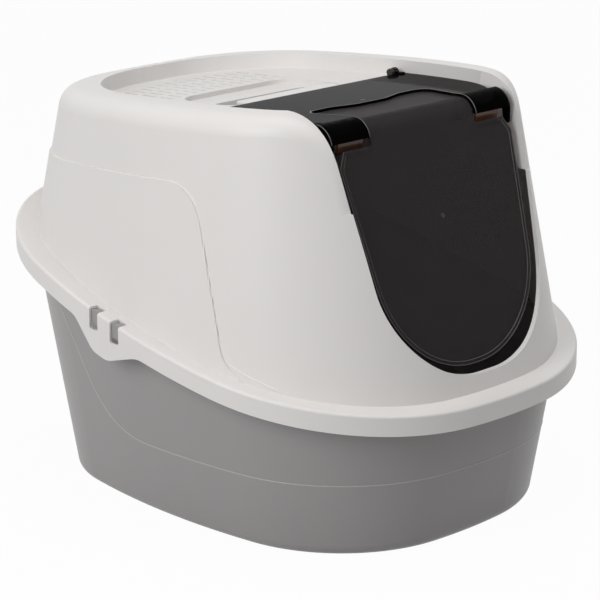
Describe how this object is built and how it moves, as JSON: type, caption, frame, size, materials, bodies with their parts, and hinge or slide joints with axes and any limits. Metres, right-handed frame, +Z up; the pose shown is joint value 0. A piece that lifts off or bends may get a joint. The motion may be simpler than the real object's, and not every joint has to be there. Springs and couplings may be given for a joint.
{
  "type": "covered litter box",
  "caption": "Covered litter box: tapered pan, lift-off hood with side ears, smoked hinged top lid carrying a swinging flap door, sunk deck with finger grip, vents and filter.",
  "frame": {"origin": "on the floor, below the middle of the rim", "axes": "+Z up, -Y towards the entry, X across the width"},
  "size_m": [0.472, 0.56, 0.4177],
  "materials": {
    "tray": "satin",
    "hood": "satin",
    "lid": "gloss",
    "flap": "gloss",
    "pin": "satin",
    "cover": "satin",
    "filter": "felt"
  },
  "bodies": {
    "pan": {"base_tray": "tray"},
    "hood": {"hood_shell": "hood", "lid_pin_left": "pin", "lid_pin_right": "pin", "cover_pin_left": "pin", "cover_pin_right": "pin"},
    "lid": {"top_lid": "lid", "flap_pin_left": "pin", "flap_pin_right": "pin"},
    "flap": {"flap_door": "flap"},
    "filter": {"filter_cover": "cover", "carbon_filter": "filter"}
  },
  "joints": [
    {"name": "hood_lift", "type": "slide", "parent": "pan", "child": "hood", "axis": [0, 0, 1], "range_m": [0, 0.12]},
    {"name": "lid_hinge", "type": "hinge", "parent": "hood", "child": "lid", "pos_m": [0, 0.0038, 0.39884], "axis": [-1, 0, 0], "range_deg": [0, 100]},
    {"name": "flap_hinge", "type": "hinge", "parent": "lid", "child": "flap", "pos_m": [0, -0.1474, 0.38704], "axis": [1, 0, 0], "range_deg": [-18, 60]},
    {"name": "cover_hinge", "type": "hinge", "parent": "hood", "child": "filter", "pos_m": [0, 0.10776, 0.37918], "axis": [-1, 0, 0], "range_deg": [0, 80]}
  ]
}
